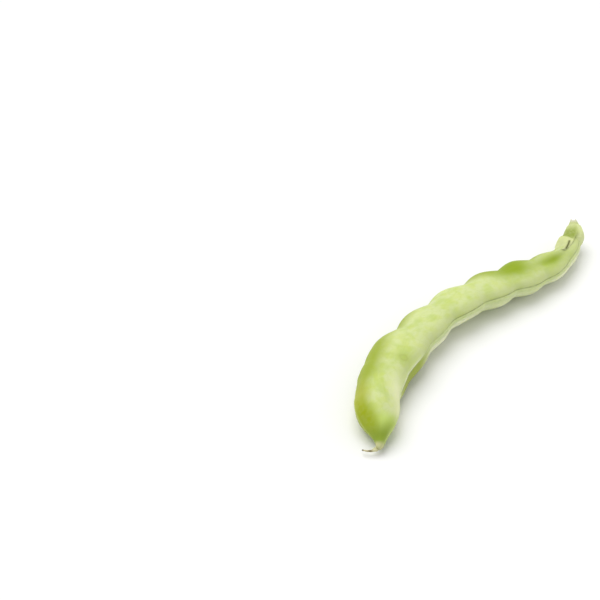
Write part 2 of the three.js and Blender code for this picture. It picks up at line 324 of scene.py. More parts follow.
class Sections:
    """Cross-sections of a line that lies flat: their middles, directions and half sizes."""

    def __init__(self, line, distance):
        rows, along = line.section(distance)
        level = np.cross(along, UP)
        level /= np.linalg.norm(level, axis=1)[:, None]
        raised = np.cross(level, along)
        rolled = rows.shape[1] > 3
        roll = np.radians(rows[:, 5:6]) if rolled else np.zeros((len(rows), 1))
        self.middle = rows[:, :3]
        self.to_seam = level * np.cos(roll) + raised * np.sin(roll)
        self.to_valve = raised * np.cos(roll) - level * np.sin(roll)
        self.half_width = rows[:, 3] / 2 if rolled else 0
        self.half_thickness = rows[:, 4] / 2 if rolled else 0

    def place(self, x, y):
        """Places in the sections, x towards the near seam and y towards the upper valve."""
        return self.middle + self.to_seam * x[:, None] + self.to_valve * y[:, None]

    def oval(self, margin, turn, radius):
        """Places on ovals larger than the sections by a margin, or at their middle at radius 0."""
        angle = turn * 2 * math.pi
        x = (self.half_width + margin) * np.cos(angle) * radius
        y = (self.half_thickness + margin) * np.sin(angle) * radius
        return self.place(x, y)


MIDDLE_LINE = SmoothLine(STATIONS)


def bell(value, spread):
    """A bell curve of height 1."""
    return np.exp(-((value / spread) ** 2))


def smooth_step(value, low, high):
    """0 below low, 1 above high, and a smooth rise between."""
    t = np.clip((value - low) / (high - low), 0, 1)
    return t * t * (3 - 2 * t)


def stretch(value, sets_in, fades_out):
    """1 on a stretch of a value and 0 off it, with smooth steps over the two spans at its ends."""
    return smooth_step(value, *sets_in) * (1 - smooth_step(value, *fades_out))


def hump(value, middle, spread):
    """A bell curve of height 1 round a middle."""
    return bell(value - middle, spread)


def ripple(waves):
    """A wave between 0 and 1, with its crests at whole numbers."""
    return 0.5 + 0.5 * np.cos(2 * math.pi * waves)


def grain(places, size, seed):
    """Smooth noise from -1 to 1 at places, with features of a size."""
    shift = Vector((seed * 7.31, seed * 3.17, seed * 5.73))
    return np.array([noise.noise(Vector(p) / size + shift) for p in places])


def bean_bulge(distance):
    """The swelling over the beans: a bean's strength over its middle, falling to 0 at its ends."""
    bulge = np.zeros_like(distance)
    for centre, span, strength in BEANS:
        away = np.clip((distance - centre) / (span / 2), -1, 1)
        bulge += strength * np.abs(np.cos(away * math.pi / 2)) ** BEAN_ROUNDNESS
    return bulge


def dents():
    """Distances at which one bean's swelling gives way to the next."""
    for (centre, span, _), (following, following_span, _) in zip(BEANS, BEANS[1:]):
        yield (centre + span / 2 + following - following_span / 2) / 2


def unit_tube(sides, rings):
    """A tube of radius 1 from 0 to 1 on Z, its ends closed by fans and its length cut into rings."""
    bm = bmesh.new()
    bmesh.ops.create_cone(
        bm, cap_ends=True, cap_tris=True, segments=sides, radius1=1, radius2=1, depth=1)
    bmesh.ops.translate(bm, verts=bm.verts, vec=(0, 0, 0.5))
    lengthwise = [e for e in bm.edges if abs(e.verts[0].co.z - e.verts[1].co.z) > 0.5]
    bmesh.ops.subdivide_edges(bm, edges=lengthwise, cuts=rings - 1, use_grid_fill=True)
    return bm


def tube_coordinates(bm):
    """How far along and round a unit tube each vertex is, from 0 to 1, and how far from its axis."""
    places = np.array([v.co for v in bm.verts])
    turn = (np.arctan2(places[:, 1], places[:, 0]) / (2 * math.pi)) % 1
    radius = np.hypot(places[:, 0], places[:, 1])
    return places[:, 2], turn, radius


def move_vertices(bm, places):
    """Puts each vertex at its place and turns the faces outwards."""
    for vertex, place in zip(bm.verts, places):
        vertex.co = place
    bmesh.ops.recalc_face_normals(bm, faces=bm.faces)


def add_object(name, data):
    """Makes an object of the data and links it to the scene."""
    made = bpy.data.objects.new(name, data)
    bpy.context.scene.collection.objects.link(made)
    return made


def add_piece(name, bm, values, finish, node):
    """Makes the bmesh a smooth piece that holds values on its vertices and stands for a CAD node."""
    mesh = bpy.data.meshes.new(name)
    bm.to_mesh(mesh)
    bm.free()
    mesh.shade_smooth()
    for key, numbers in values.items():
        layer = mesh.attributes.new(key, "FLOAT", "POINT")
        layer.data.foreach_set("value", numbers.astype(np.float32))
    mesh.materials.append(finish)
    piece = add_object(name, mesh)
    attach(piece, BODY)
    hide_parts(node)


class Wire:
    """One output in a material. Sums and products with it add Math nodes to its tree."""

    def __init__(self, tree, socket):
        self.tree = tree
        self.socket = socket

    def maths(self, operation, first, second):
        node = self.tree.nodes.new("ShaderNodeMath")
        node.operation = operation
        plug(self.tree, node.inputs[0], first)
        plug(self.tree, node.inputs[1], second)
        return Wire(self.tree, node.outputs[0])

    def __add__(self, other):
        return self.maths("ADD", self, other)

    __radd__ = __add__

    def __sub__(self, other):
        return self.maths("SUBTRACT", self, other)

    def __rsub__(self, other):
        return self.maths("SUBTRACT", other, self)

    def __mul__(self, other):
        return self.maths("MULTIPLY", self, other)

    __rmul__ = __mul__


def plug(tree, socket, value):
    """Links a wire to a socket, or sets a number or colour on it."""
    if isinstance(value, Wire):
        tree.links.new(value.socket, socket)
    elif value is not None:
        socket.default_value = value


class Recipe:
    """A material in the making, with one Principled shader."""

    def __init__(self, name, constants):
        self.material = bpy.data.materials.new(name)
        self.material.use_nodes = True
        self.tree = self.material.node_tree
        self.shader = self.tree.nodes["Principled BSDF"]
        for socket, value in constants.items():
            self.shader.inputs[socket].default_value = value

    def node(self, kind, settings, sockets, output=0):
        """A node of a kind, its settings made first, then the values or wires of its sockets."""
        made = self.tree.nodes.new("ShaderNode" + kind)
        for key, value in settings.items():
            setattr(made, key, value)
        for key, value in sockets.items():
            plug(self.tree, made.inputs[key], value)
        return Wire(self.tree, made.outputs[output])

    def places(self):
        return self.node("TexCoord", {}, {}, "Object")

    def value(self, name):
        """A number that the mesh holds on its vertices."""
        return self.node("Attribute", {"attribute_name": name}, {}, "Fac")

    def vector(self, x, y, z):
        return self.node("CombineXYZ", {}, {0: x, 1: y, 2: z})

    def noise(self, places, size, detail=2.0):
        """Noise from 0 to 1 with features of a size."""
        sockets = {"Vector": places, "Scale": 1 / size, "Detail": detail}
        return self.node("TexNoise", {}, sockets)

    def spots(self, places, size, detail, shown, share):
        """Soft spots where the noise of a size is past the span shown, as a share of a colour."""
        return self.rise(self.noise(places, size, detail), *shown) * share

    def strands(self, along, across, squeeze, size):
        """Noise of a size, drawn out along a piece."""
        return self.noise(self.vector(along * squeeze, across, 0.0), size)

    def cell_walls(self, places, size):
        """How far a place is from the walls between cells of a size, 0 on a wall."""
        sockets = {"Vector": places, "Scale": 1 / size}
        return self.node("TexVoronoi", {"feature": "DISTANCE_TO_EDGE"}, sockets, "Distance")

    def rise(self, value, low, high):
        """0 below low, 1 above high, and a smooth rise between."""
        settings = {"interpolation_type": "SMOOTHSTEP"}
        return self.node("MapRange", settings, {0: value, 1: low, 2: high})

    def tint(self, share, first, second):
        """A mix from the first colour at share 0 to the second at 1."""
        settings = {"data_type": "RGBA", "clamp_factor": True}
        return self.node("Mix", settings, {0: share, 6: shade(first), 7: shade(second)}, 2)

    def tints(self, base, colours, shares):
        """The base with each named colour laid over it, by the value of that name times its share."""
        for name, share in shares.items():
            base = self.tint(self.value(name) * share, base, getattr(colours, name))
        return base

    def bump(self, height, depth, normal=None):
        sockets = {"Height": height, "Distance": depth, "Strength": 1.0, "Normal": normal}
        return self.node("Bump", {}, sockets, "Normal")

    def finish(self, wires):
        """Links the wires that vary over the surface to the shader."""
        for socket, value in wires.items():
            plug(self.tree, self.shader.inputs[socket], value)
        return self.material


def shade(colour):
    """A wire as it is, or a colour with its alpha."""
    return colour if isinstance(colour, Wire) else (*colour, 1.0)


def length(name, description, default):
    return FloatProperty(
        name=name, description=description, default=default, unit="LENGTH", precision=5)


def colour(name, description, default):
    return FloatVectorProperty(
        name=name, description=description, default=default, subtype="COLOR", min=0, max=1)


def count(name, description, default, least):
    return IntProperty(name=name, description=description, default=default, min=least)


def light(name, description, default):
    return FloatProperty(name=name, description=description, default=default, min=0)


def degrees(name, description, default):
    return FloatProperty(
        name=name, description=description, default=math.radians(default), subtype="ANGLE")


class PodShape(bpy.types.PropertyGroup):
    rings: count("Rings", "Rings of faces from beak to neck", 480, 60)
    sides: count("Sides", "Faces round the pod", 160, 24)
    swell: length("Swell", "How far a bean lifts each valve at the far seam", 0.0027)
    lower_swell: length("Lower swell", "How far the lower valve stands out past the near seam", 0.00165)
    lip: length("Lips", "Height of the two lips of the near seam", 0.00035)
    groove: length("Groove", "Depth of the groove between the lips", 0.00014)
    waver: length("Waver", "How uneven the skin is over a centimetre", 0.00022)
    pucker: length("Pucker", "Depth of the creases where the far seam draws in", 0.00028)
    hollow: length("Hollow", "Depth of the hollow in the upper valve by the neck", 0.0011)
    ribs: length("Neck ribs", "Height of the ribs along the neck", 0.00008)
    tip: length("Tip", "Length over which the end of the beak is rounded", 0.0011)


class PodColours(bpy.types.PropertyGroup):
    crest: colour("Crest", "Skin over the beans", (0.61, 0.68, 0.31))
    flank: colour("Flank", "Skin towards the seams", (0.58, 0.65, 0.31))
    cloud: colour("Cloud", "Deeper patches in the skin", (0.46, 0.58, 0.13))
    patch: colour("Patch", "Small yellower patches in the skin", (0.53, 0.63, 0.06))
    vein: colour("Vein", "Fine veins in the skin", (0.36, 0.48, 0.10))
    dent: colour("Dent", "Skin between two beans", (0.44, 0.55, 0.14))
    # Partly the skin's own deeper green, partly painted shade of neighbouring pods
    far: colour("Far", "Greener skin towards the far seam", (0.31, 0.39, 0.03))
    # Partly the skin's own pale bloom, partly painted light from the white floor
    pale: colour("Pale", "Whiter skin on the near side of the first bean and the neck", (0.84, 0.87, 0.52))
    bright: colour("Bright", "Bright yellow green behind the beak", (0.56, 0.71, 0.16))
    beak: colour("Beak", "Grass green of the beak", (0.26, 0.36, 0.03))
    # Partly the skin's own olive, partly painted shade of neighbouring pods
    olive: colour("Olive", "Olive green towards the far seam by the beak", (0.31, 0.38, 0.00))
    gold: colour("Gold", "Yellow tinge of the far side of the first bean", (0.52, 0.48, 0.05))
    # Painted shade of the hollow and of a neighbouring pod's shadow on the bean before it
    hollow: colour("Hollow", "Deep green of the hollow and of the bean before it", (0.26, 0.36, 0.01))
    grey: colour("Grey", "Greyish skin along the groove", (0.52, 0.58, 0.27))
    # Partly the lower valve's own olive, partly painted shade near the floor
    under_olive_and_shade: colour("Under", "Olive skin below the lip by the beak", (0.34, 0.41, 0.05))
    mark: colour("Mark", "Greener skin round the small healed mark", (0.40, 0.50, 0.10))
    neck: colour("Neck", "Pale skin of the neck", (0.56, 0.63, 0.25))
    tip: colour("Tip", "Pale end of the beak", (0.55, 0.55, 0.28))
    lip: colour("Lips", "Lips of the near seam", (0.62, 0.69, 0.36))
    # Partly the seam's own cream, partly painted light from the white floor
    cream_and_lit_rim: colour("Rim", "Cream lower edge of the band below the groove", (0.86, 0.88, 0.62))
    keel: colour("Keel", "Fine ridge of the far seam", (0.58, 0.64, 0.28))
    groove: colour("Groove", "Groove between the lips", (0.24, 0.29, 0.11))
    scar: colour("Scar", "Small healed mark", (0.40, 0.46, 0.12))


class StemShape(bpy.types.PropertyGroup):
    cup_sides: count("Cup sides", "Faces round the calyx", 160, 40)
    cup_rings: count("Cup rings", "Rings of faces up one side of the calyx wall", 36, 8)
    wall: length("Wall", "Thickness of the calyx at its foot", 0.0006)
    cup_ribs: length("Cup ribs", "Height of the ribs of the calyx", 0.00016)
    hug: length("Hug", "How far the teeth draw in towards the neck", 0.0005)
    stalk_ribs: length("Stalk ribs", "Height of the ribs of the stalk", 0.00014)
    tear: length("Tear", "How ragged the broken end of the stalk is", 0.0016)
    style_root: length("Style root", "Radius of the dried thread past its thick root", 0.00060)
    style_tip: length("Style tip", "Radius of the dried thread at its tip", 0.00032)


class StemColours(bpy.types.PropertyGroup):
    cup: colour("Cup", "Olive green of the calyx", (0.27, 0.34, 0.05))
    # Partly the calyx's own paler green, partly painted light
    foot: colour("Foot", "Paler green towards the stalk and the near seam", (0.69, 0.75, 0.35))
    limb: colour("Limb", "Pale teeth of the calyx", (0.60, 0.65, 0.28))
    # Painted light over the shading of the lobe's steep near edge
    painted_light_hem: colour("Hem", "Pale near edge of the broad lobe", (0.86, 0.89, 0.62))
    dry: colour("Dry", "Dried tips of the teeth", (0.42, 0.36, 0.12))
    # Partly the lobe's brown dried edge, partly painted shadow of the gap under it
    crease_and_gap_shade: colour("Crease", "Brown crease at the near corner of the lobe", (0.06, 0.065, 0.00))
    stalk: colour("Stalk", "Skin of the stalk", (0.60, 0.64, 0.32))
    fibre: colour("Fibre", "Torn fibres of the stalk", (0.62, 0.62, 0.44))
    style: colour("Style", "Dried thread", (0.62, 0.56, 0.34))
    burnt: colour("Burnt", "Brown parts of the thread", (0.12, 0.09, 0.02))
    root: colour("Root", "Pale thick root of the thread", (0.66, 0.64, 0.36))


class StageSettings(bpy.types.PropertyGroup):
    floor: colour("Floor", "Paint of the floor", (0.89, 0.89, 0.885))
    key: light("Key light", "Strength of the main soft light", 1.97)
    fill: light("Room light", "Strength of the light from all round", 0.57)
    side: light("Side light", "Strength of the weak lamp beside the neck", 0.12)
    spread: degrees("Softness", "Width of the main light as seen from the pod", 60)
    azimuth: degrees("Azimuth", "Where the camera stands round the pod", -52.7)
    elevation: degrees("Elevation", "How far the camera looks down", 40)
    distance: length("Distance", "From the camera to the middle of the picture", 0.63)


# What doesn't vary over a skin. Red light goes no deeper into it than green light does, so that
# thin edges don't turn pink.
FRESH_SKIN = {
    "Specular IOR Level": 0.2,
    "Subsurface Weight": 0.25,
    "Subsurface Radius": (1.0, 1.0, 0.3),
    "Subsurface Scale": 0.002,
}
THIN_SKIN = {
    "Specular IOR Level": 0.3,
    "Subsurface Weight": 0.15,
    "Subsurface Radius": (1.0, 1.0, 0.3),
    "Subsurface Scale": 0.001,
}

# Spots in the skin: the size and detail of their noise, the span of it that shows, and their share
CLOUDS = (0.0075, 2.0, (0.42, 0.64), 0.60)
PATCHES = (0.0034, 3.0, (0.40, 0.64), 0.30)
BLOTCHES = (0.0022, 3.0, (0.35, 0.65), 0.09)
GAPS = (0.0013, 3.0, (0.40, 0.60), 0.50)

# Strands along a piece: how much their noise is squeezed lengthwise, and its size. Those that are
# coloured have the span of noise that shows, and their share.
STREAKS, STREAKS_SHOWN, STREAKS_SHARE = (0.1, 0.0011), (0.45, 0.75), 0.35
LINES, LINES_SHOWN, LINES_SHARE = (0.12, 0.00035), (0.40, 0.62), 0.30
FIBRES = (0.1, 0.0002)
VEIN_SQUEEZE, VEIN_SLANT, VEIN_SPACING, VEIN_WIDTH, VEIN_SHARE = 0.7, 0.5, 0.0030, 0.10, 0.09

# Sizes of the other noise: pores of the pod, mottling and grain of the calyx, wrinkles of the thread
PORE_SIZE, MOTTLE_SIZE, FINE_SIZE, THREAD_SIZE = 0.0005, 0.0014, 0.0003, 0.00035
MOTTLE_SHOWN, MOTTLE_SHARE = (0.35, 0.80), 0.25
FIBRE_SHARE, THREAD_SHARE = 0.5, 0.3

# How far each of the finest features stands up
STREAK_RELIEF, VEIN_RELIEF, PORE_RELIEF = 0.00005, 0.00001, 0.00005
MOTTLE_RELIEF, FIBRE_RELIEF = 0.0001, 0.00008

# The share of each colour where its value on the mesh is 1, from the lowest layer to the highest
POD_SHARES = {
    "dent": 0.1, "far": 0.95, "pale": 0.8, "bright": 0.85, "beak": 0.95, "olive": 0.95, "gold": 0.32,
    "hollow": 1.0, "neck": 0.85, "tip": 1.0, "grey": 0.6, "lip": 0.8, "cream_and_lit_rim": 0.9, "under_olive_and_shade": 0.95,
    "keel": 0.7, "groove": 0.55, "mark": 0.7, "scar": 0.6,
}
CALYX_SHARES = {"foot": 0.9, "limb": 1.0, "painted_light_hem": 0.3, "dry": 0.35, "crease_and_gap_shade": 1.0}


def pod_skin(colours):
    """Fresh skin, paler over the beans and clouded, with streaks, veins, the seams' colours, which are
    partly painted light, and painted shade towards the far seam and in the hollow.
    """
    mix = Recipe("pod_skin", FRESH_SKIN)
    places = mix.places()
    along, fold = mix.value("along"), mix.value("fold")
    streaks = mix.strands(along, fold, *STREAKS)
    slanted = mix.vector(along * VEIN_SQUEEZE + fold * VEIN_SLANT, fold, 0.0)
    veins = 1 - mix.rise(mix.cell_walls(slanted, VEIN_SPACING), 0.0, VEIN_WIDTH)
    pores = mix.noise(places, PORE_SIZE)
    base = mix.tint(mix.value("crest"), colours.flank, colours.crest)
    base = mix.tint(mix.spots(places, *CLOUDS), base, colours.cloud)
    base = mix.tint(mix.spots(places, *PATCHES), base, colours.patch)
    base = mix.tint(mix.rise(streaks, *STREAKS_SHOWN) * STREAKS_SHARE, base, colours.crest)
    base = mix.tint(veins * VEIN_SHARE, base, colours.vein)
    base = mix.tints(base, colours, POD_SHARES)
    base = mix.tint(mix.value("olive") * mix.spots(places, *BLOTCHES), base, colours.crest)
    lines = mix.rise(mix.strands(along, fold, *LINES), *LINES_SHOWN) * LINES_SHARE
    base = mix.tint(mix.value("lip") * lines, base, colours.vein)
    base = mix.tint(mix.value("groove") * mix.spots(places, *GAPS), base, colours.groove)
    normal = mix.bump(veins, VEIN_RELIEF, mix.bump(streaks, STREAK_RELIEF))
    return mix.finish({
        "Base Color": base,
        "Roughness": 0.44 + 0.16 * pores,
        "Normal": mix.bump(pores, PORE_RELIEF, normal),
    })


def calyx_skin(colours):
    """Thin dull skin: an olive cup, and pale teeth with a dark line, partly brown and dried and partly
    painted shadow, and a dried edge.
    """
    mix = Recipe("calyx_skin", THIN_SKIN)
    places = mix.places()
    mottle = mix.noise(places, MOTTLE_SIZE)
    fine = mix.noise(places, FINE_SIZE)
    base = mix.tint(mix.rise(mottle, *MOTTLE_SHOWN) * MOTTLE_SHARE, colours.cup, colours.foot)
    return mix.finish({
        "Base Color": mix.tints(base, colours, CALYX_SHARES),
        "Roughness": 0.55 + 0.2 * fine,
        "Normal": mix.bump(fine, PORE_RELIEF, mix.bump(mottle, MOTTLE_RELIEF)),
    })


def stalk_skin(colours):
    """Ribbed green skin that ends in torn fibres."""
    mix = Recipe("stalk_skin", THIN_SKIN)
    strands = mix.strands(mix.value("along"), mix.value("round"), *FIBRES)
    base = mix.tint(strands * FIBRE_SHARE, colours.stalk, colours.cup)
    return mix.finish({
        "Base Color": mix.tints(base, colours, {"fibre": 1.0}),
        "Roughness": 0.6 + 0.2 * strands,
        "Normal": mix.bump(strands, FIBRE_RELIEF),
    })


def style_skin(colours):
    """A dried thread, pale at its root, with brown parts and wrinkles."""
    mix = Recipe("style_skin", {"Specular IOR Level": 0.25})
    wrinkles = mix.noise(mix.places(), THREAD_SIZE)
    base = mix.tint(wrinkles * THREAD_SHARE, colours.style, colours.burnt)
    return mix.finish({
        "Base Color": mix.tints(base, colours, {"root": 1.0, "burnt": 1.0}),
        "Roughness": 0.65 + 0.2 * wrinkles,
        "Normal": mix.bump(wrinkles, FIBRE_RELIEF),
    })


class PodSurface:
    """Where the vertices are on the skin of the pod, for its shape and for its colours."""

    def __init__(self, share, turn, radius):
        self.distance, self.radius = share * NECK_END, radius
        self.angle = 2 * math.pi * turn - SEAM_CROWDING / 2 * np.sin(4 * math.pi * turn)
        self.fold = math.pi - np.abs(self.angle - math.pi)
        self.across, self.upward = np.cos(self.angle), np.abs(np.sin(self.angle))
        self.side = np.sign(np.sin(self.angle))
        self.near, self.upper = self.across > 0, self.side > 0
        self.sections = Sections(MIDDLE_LINE, self.distance)
        self.full = np.minimum(self.sections.half_width / FULL_HALF_WIDTH, 1)
        self.bulge = bean_bulge(self.distance)
        self.far_side = smooth_step(self.fold, *FAR_SIDE)
        self.stemward = smooth_step(self.distance, *LIP_CHANGE)
        self.neck = smooth_step(self.distance, *NECK_SETS_IN)

    def place(self, x, y, closing=1):
        """Places x towards the near seam and y away from the plane of the seams."""
        inward = closing * self.radius
        return self.sections.place(x * inward, y * inward * self.side)

    def valves(self, depth):
        """The x and y of the smooth valves, which swell by a depth over the beans."""
        wave = np.where(self.near, NEAR_EDGE_WAVE, FAR_EDGE_WAVE)
        x = (self.sections.half_width + wave * self.full * (self.bulge - 0.5)) * self.across
        swell = depth * self.bulge * self.upward ** SWELL_FOCUS
        swell *= ((1 - self.across) / 2) ** SWELL_FADE
        return x, self.sections.half_thickness * self.upward ** VALVE_FULLNESS + swell

    def find_seams(self, y):
        """Finds the lips and groove of the near seam and the keel of the far one, by the valves' y."""
        self.height = y * self.side - SEAM_CLIMB * smooth_step(self.distance, *SEAM_CLIMBS)
        favoured = np.where(self.height > 0, 1 - self.stemward, self.stemward)
        self.lips = hump(np.abs(self.height), LIP_OFFSET, LIP_SPREAD) * self.near
        self.lips *= LESSER_LIP + (1 - LESSER_LIP) * favoured
        faint = GROOVE_FAINTNESS * stretch(self.distance, GROOVE_FADES_OUT, GROOVE_SETS_IN)
        self.groove = bell(self.height, GROOVE_SPREAD) * self.near * (1 - faint)
        self.keel = bell(y, KEEL_SPREAD) * ~self.near

    def seam_relief(self, shape, places):
        """How far the lips stand out and the groove and the keel draw in."""
        uneven = LIP_EVEN + LIP_UNEVEN * grain(places, LIP_GRAIN, 3)
        relief = shape.lip * self.lips * uneven - shape.groove * self.groove
        return self.full * (relief - KEEL_HEIGHT * self.keel)

    def stand_out(self):
        """How much of its full measure the lower valve stands out past the near seam."""
        most = stretch(self.distance, LOWER_SETS_IN, LOWER_FADES_OUT)
        with_beans = LOWER_SHARE * self.bulge * (1 - hump(self.distance, *LOWER_GAP))
        below = np.sin(2 * self.angle) ** 2 * self.near * ~self.upper
        return (with_beans * (1 - most) + most) * below

    def sunk(self, shape, places):
        """How far the skin is sunk by its waver, the puckers, the hollow and the ribs of the neck."""
        puckers = sum(hump(self.distance, dent, PUCKER_SPREAD) for dent in dents())
        puckers *= self.far_side * self.full * np.clip(PUCKER_CONTRAST * (0.5 - self.bulge), 0, 1)
        by_neck = stretch(self.distance, HOLLOW_SETS_IN, HOLLOW_FADES_OUT)
        hollow = hump(self.fold, HOLLOW_ANGLE, HOLLOW_SPREAD) * by_neck * self.upper
        ribs = 0.5 - 0.5 * np.cos(NECK_RIBS * self.angle)
        waver = sum(part * (0.5 + 0.5 * grain(places, size, seed)) for size, seed, part in WAVERS)
        depth = shape.waver * waver + shape.pucker * puckers
        return depth + shape.hollow * hollow + shape.ribs * ribs * self.neck

    def closing(self, tip):
        """The share of the sections' size that is left by the rounded end of the beak."""
        rounded = np.sqrt(np.clip(1 - (1 - self.distance / tip) ** 2, BLUNTNESS, 1))
        return np.where(self.distance < tip, rounded, 1)

    def far_colours(self):
        """Colours that lie by their angle from the near seam."""
        distance, fold = self.distance, self.fold
        olive_edge = OLIVE_CLIMB * smooth_step(distance, *OLIVE_CLIMBS)
        olive = stretch(distance, OLIVE_SETS_IN, OLIVE_FADES_OUT)
        # Partly the skin's own pale bloom, partly painted light from the white floor
        pale = stretch(distance, FIRST_BEAN_SETS_IN, FIRST_BEAN_FADES_OUT)
        pale *= 1 - smooth_step(fold, *PALE_ANGLES)
        pale_neck = PALE_NECK * smooth_step(distance, *PALE_NECK_SETS_IN)
        # Painted shade over the bean before the hollow, in the hollow and by the neck
        painted_shade = hump(distance, *SHADED_BEAN) * smooth_step(fold, *SHADED_BEAN_ANGLES)
        for part, along, across in SHADE_SPOTS:
            painted_shade += part * hump(distance, *along) * hump(fold, *across)
        nearer = sum(part * hump(distance, *along) for part, *along in FAR_COMES_NEARER)
        beak_start, beak_end = BEAK_FADES_OUT
        beak = 1 - smooth_step(distance, beak_start, beak_end + BEAK_TONGUES * np.abs(np.cos(fold)))
        return {
            # Painted shade of neighbouring pods, with the skin's own deeper green
            "far": smooth_step(fold + nearer, *FAR_ANGLES),
            "pale": pale + pale_neck * (1 - smooth_step(fold, *PALE_NECK_ANGLES)),
            "bright": 1 - smooth_step(distance, *BRIGHT_FADES_OUT),
            "beak": beak * smooth_step(fold, *BEAK_ANGLES),
            # Partly the skin's own olive, partly painted shade of neighbouring pods
            "olive": olive * smooth_step(fold - olive_edge, *OLIVE_ANGLES),
            "gold": hump(distance, *GOLD_BELL) * smooth_step(fold, *FAR_ANGLES),
            "hollow": np.clip(painted_shade, 0, 1) * self.upper,
        }

    def near_colours(self):
        """Colours that lie by their height from the groove of the near seam."""
        distance, height, beakward = self.distance, self.height, 1 - self.stemward
        by_seam = self.near * self.full
        banded = smooth_step(distance, *BAND_SETS_IN)
        # Painted light from the white floor, with the seam's own paler colour
        band = (1 - smooth_step(height, *BAND_TOP)) * smooth_step(height, *BAND_FOOT) * banded
        by_neck = smooth_step(distance, *RIM_LULL_FADES_OUT)
        rim_top, rim_foot = RIM_DEPTHS
        cream_and_lit_rim = 1 - RIM_LULL * smooth_step(distance, *RIM_LULL_SETS_IN) + RIM_LULL * by_neck
        cream_and_lit_rim *= smooth_step(-height, rim_top, rim_foot - RIM_RISE * by_neck)
        beak_rim = BEAK_RIM * hump(height, *BEAK_RIM_BELL) * self.upper * beakward
        beak_rim *= smooth_step(distance, *BEAK_RIM_SETS_IN)
        upper_lip = hump(height, LIP_OFFSET, LIP_SPREAD) * beakward
        # Partly the lower valve's own olive, partly painted shade near the floor
        under_olive_and_shade = (1 - smooth_step(height, *UNDER_HEIGHTS)) * smooth_step(distance, *UNDER_SETS_IN)
        grey = hump(height, GREY_HEIGHT - GREY_DROP * self.stemward, GREY_SPREAD)
        return {
            "grey": grey * smooth_step(distance, *GREY_SETS_IN) * by_seam,
            # The band's share of the lip colour is partly painted light from the white floor
            "lip": (upper_lip + band) * by_seam,
            "cream_and_lit_rim": np.clip(cream_and_lit_rim * band + beak_rim, 0, 1) * by_seam,
            "under_olive_and_shade": under_olive_and_shade * (1 - banded) * by_seam,
        }

    def values(self):
        """The numbers that the mesh holds for its skin."""
        distance, upward, full = self.distance, self.upward, self.full
        from_scar = np.hypot(distance - SCAR[0], (self.angle - SCAR[1]) * ARC_RADIUS)
        return {
            "along": distance,
            "fold": self.fold * ARC_RADIUS,
            "crest": np.clip(self.bulge * upward, 0, 1) * smooth_step(distance, *CREST_SETS_IN),
            "dent": (1 - np.clip(self.bulge, 0, 1)) * full * upward * self.far_side,
            "neck": self.neck,
            "tip": 1 - smooth_step(distance, *TIP_FADES_OUT),
            "keel": self.keel ** 2 * full * (1 - KEEL_FADING * smooth_step(distance, *KEEL_FADES)),
            "groove": self.groove * full,
            "mark": bell(from_scar, MARK_SPREAD) * self.upper,
            "scar": hump(from_scar, SCAR[2], SCAR_EDGE) * self.upper,
            **self.far_colours(),
            **self.near_colours(),
        }


class BEANPOD_OT_pod(bpy.types.Operator):
    """Builds the two grown-together valves, from the beak to the neck"""

    bl_idname = "beanpod.pod"
    bl_label = "Pod"

    def execute(self, context):
        shape = context.scene.bean_pod
        bm = unit_tube(shape.sides, shape.rings)
        skin = PodSurface(*tube_coordinates(bm))
        x, y = skin.valves(shape.swell)
        smooth_places = skin.place(x, y)
        skin.find_seams(y)
        x += skin.seam_relief(shape, smooth_places)
        stand_out = shape.lower_swell * skin.stand_out()
        x += LOWER_DIRECTION[0] * stand_out
        y += LOWER_DIRECTION[1] * stand_out
        sunk = skin.sunk(shape, smooth_places)
        x -= sunk * skin.across
        y -= np.minimum(sunk * skin.upward, y)
        places = skin.place(x, y, skin.closing(shape.tip))
        places[:, 2] = np.maximum(places[:, 2], 0)
        move_vertices(bm, places)
        finish = pod_skin(context.scene.bean_pod_colours)
        add_piece("pod_skin", bm, skin.values(), finish, "pod")
        return {"FINISHED"}


